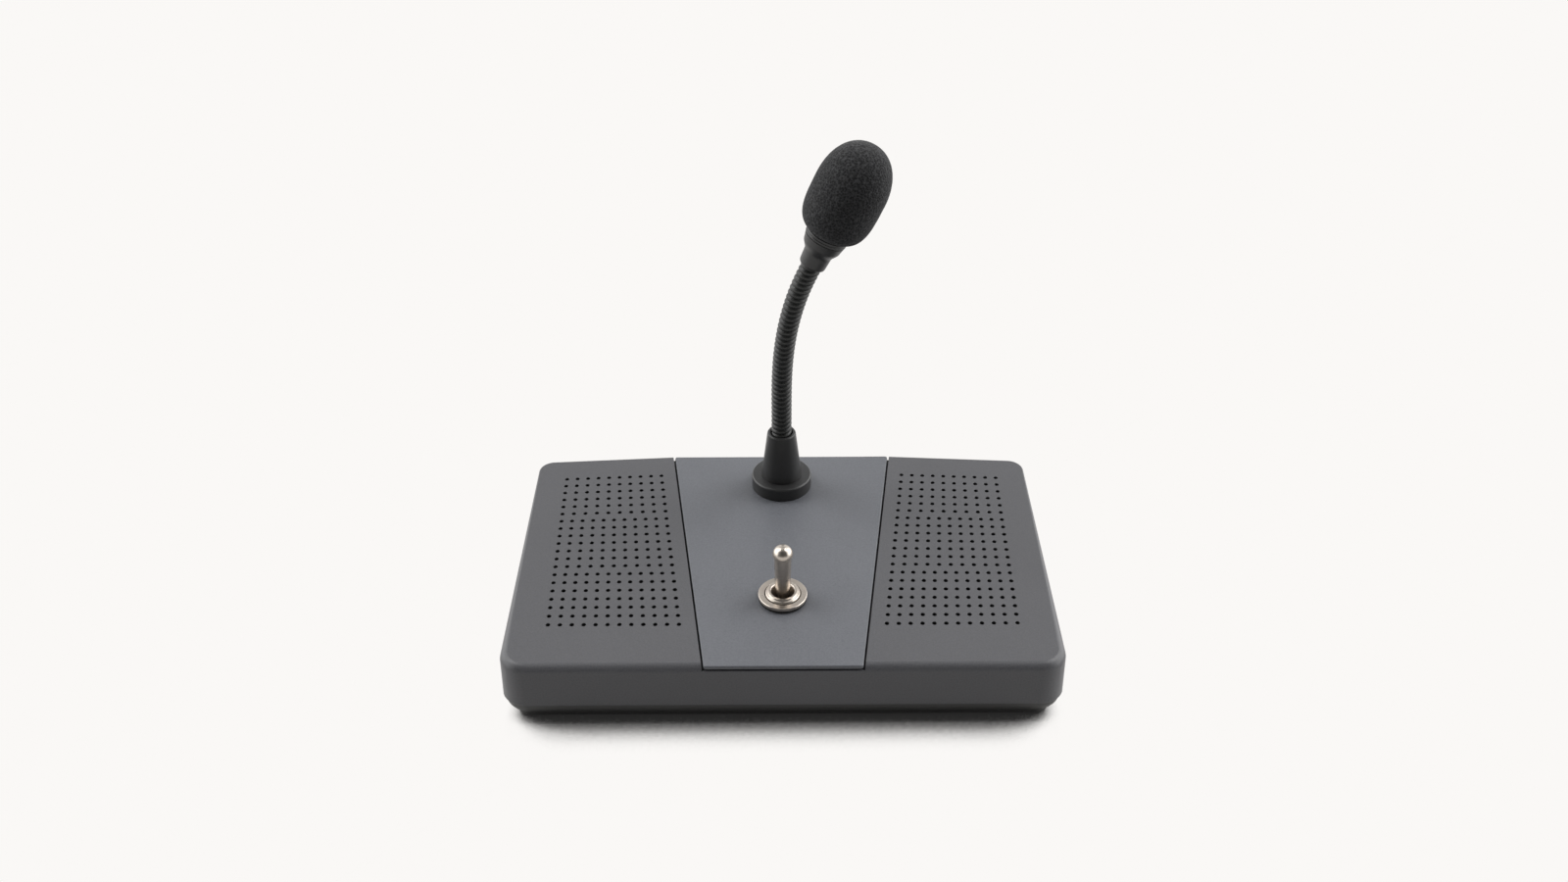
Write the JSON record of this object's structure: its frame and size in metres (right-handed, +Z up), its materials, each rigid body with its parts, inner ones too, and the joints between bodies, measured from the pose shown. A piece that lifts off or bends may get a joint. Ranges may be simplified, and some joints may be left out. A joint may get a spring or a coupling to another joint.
{
  "type": "interpreter console",
  "caption": "Sloping desk console with perforated speaker wings, a trapezoid control panel, a toggle switch and a gooseneck microphone with a foam windscreen.",
  "frame": {"origin": "on the table, under the middle of the housing's outline", "axes": "+X to the user's right along the width, +Y from the user to the rear, +Z up"},
  "size_m": [0.18, 0.112, 0.1674],
  "materials": {
    "housing_plastic": "fine moulded texture, mid grey",
    "tray_plastic": "fine moulded texture, near black",
    "panel_paint": "satin blue-grey",
    "foot_rubber": "matte",
    "screw_steel": "zinc plated",
    "acoustic_cloth": "black felt",
    "gasket_foam": "closed-cell foam",
    "basket_steel": "black",
    "cone_paper": "pressed paper",
    "magnet_iron": "ferrite",
    "board_laminate": "green solder mask",
    "chip_plastic": "moulded",
    "capacitor_sleeve": "shrink sleeve",
    "header_nylon": "natural nylon",
    "socket_plastic": "black",
    "case_phenolic": "brown phenolic",
    "terminal_brass": "tinned",
    "switch_nickel": "satin nickel",
    "neck_paint": "satin black",
    "neck_steel": "black over wound steel",
    "holder_plastic": "satin black",
    "capsule_can": "drawn can",
    "windscreen_foam": "open-cell foam"
  },
  "bodies": {
    "console": {"upper_housing": "housing_plastic", "lower_housing": "tray_plastic", "control_panel": "panel_paint", "rubber_feet": "foot_rubber", "housing_screws": "screw_steel", "panel_screws": "screw_steel", "left_grille_cloth": "acoustic_cloth", "right_grille_cloth": "acoustic_cloth", "left_speaker_gasket": "gasket_foam", "right_speaker_gasket": "gasket_foam", "left_speaker_frame": "basket_steel", "right_speaker_frame": "basket_steel", "left_speaker_cone": "cone_paper", "right_speaker_cone": "cone_paper", "left_speaker_magnet": "magnet_iron", "right_speaker_magnet": "magnet_iron", "speaker_screws": "screw_steel", "circuit_board": "board_laminate", "board_screws": "screw_steel", "amplifier_chip": "chip_plastic", "capacitors": "capacitor_sleeve", "wire_headers": "header_nylon", "link_socket": "socket_plastic", "switch_case": "case_phenolic", "switch_terminals": "terminal_brass", "switch_bushing": "switch_nickel", "switch_washer": "screw_steel", "switch_nut": "switch_nickel", "switch_dress_ring": "switch_nickel", "switch_pivot_pin": "screw_steel", "neck_flange": "neck_paint", "neck_socket": "neck_paint", "neck_washer": "screw_steel", "neck_nut": "screw_steel", "neck_link_0": "neck_steel"},
    "lever": {"switch_lever": "switch_nickel"},
    "neck_1": {"neck_link_1": "neck_steel"},
    "neck_2": {"neck_link_2": "neck_steel"},
    "neck_3": {"neck_link_3": "neck_steel"},
    "neck_4": {"neck_link_4": "neck_steel"},
    "neck_5": {"neck_link_5": "neck_steel"},
    "neck_6": {"neck_link_6": "neck_steel"},
    "neck_7": {"neck_link_7": "neck_steel"},
    "head": {"neck_link_8": "neck_steel", "mic_holder": "holder_plastic", "mic_capsule": "capsule_can", "capsule_cap": "holder_plastic", "windscreen": "windscreen_foam"}
  },
  "joints": [
    {"name": "switch_throw", "type": "hinge", "parent": "console", "child": "lever", "pos_m": [0, -0.0233, 0.02357], "axis": [1, 0, 0], "range_deg": [-12, 12]},
    {"name": "neck_lean_1", "type": "hinge", "parent": "console", "child": "neck_1", "pos_m": [0, 0.03512, 0.05985], "axis": [0, 0.9903, 0.1392], "range_deg": [-14, 14]},
    {"name": "neck_nod_1", "type": "hinge", "parent": "neck_1", "child": "neck_2", "pos_m": [0, 0.03395, 0.06817], "axis": [1, 0, 0], "range_deg": [-14, 14]},
    {"name": "neck_lean_2", "type": "hinge", "parent": "neck_2", "child": "neck_3", "pos_m": [0, 0.03278, 0.07649], "axis": [0, 0.9903, 0.1392], "range_deg": [-14, 14]},
    {"name": "neck_nod_2", "type": "hinge", "parent": "neck_3", "child": "neck_4", "pos_m": [0.00024, 0.03161, 0.0848], "axis": [0.9996, 0.004, -0.0282], "range_deg": [-14, 14]},
    {"name": "neck_lean_3", "type": "hinge", "parent": "neck_4", "child": "neck_5", "pos_m": [0.00092, 0.03045, 0.09309], "axis": [0, 0.9903, 0.1392], "range_deg": [-14, 14]},
    {"name": "neck_nod_3", "type": "hinge", "parent": "neck_5", "child": "neck_6", "pos_m": [0.00215, 0.02929, 0.10132], "axis": [0.9891, 0.0205, -0.1461], "range_deg": [-14, 14]},
    {"name": "neck_lean_4", "type": "hinge", "parent": "neck_6", "child": "neck_7", "pos_m": [0.00405, 0.02815, 0.10942], "axis": [0, 0.9903, 0.1392], "range_deg": [-14, 14]},
    {"name": "neck_nod_4", "type": "hinge", "parent": "neck_7", "child": "head", "pos_m": [0.00669, 0.02704, 0.11732], "axis": [0.9497, 0.0436, -0.3102], "range_deg": [-14, 14]}
  ],
  "couplings": [
    {"joint": "neck_lean_2", "follows": "neck_lean_1", "ratio": 1},
    {"joint": "neck_lean_3", "follows": "neck_lean_1", "ratio": 1},
    {"joint": "neck_lean_4", "follows": "neck_lean_1", "ratio": 1},
    {"joint": "neck_nod_2", "follows": "neck_nod_1", "ratio": 1},
    {"joint": "neck_nod_3", "follows": "neck_nod_1", "ratio": 1},
    {"joint": "neck_nod_4", "follows": "neck_nod_1", "ratio": 1}
  ]
}
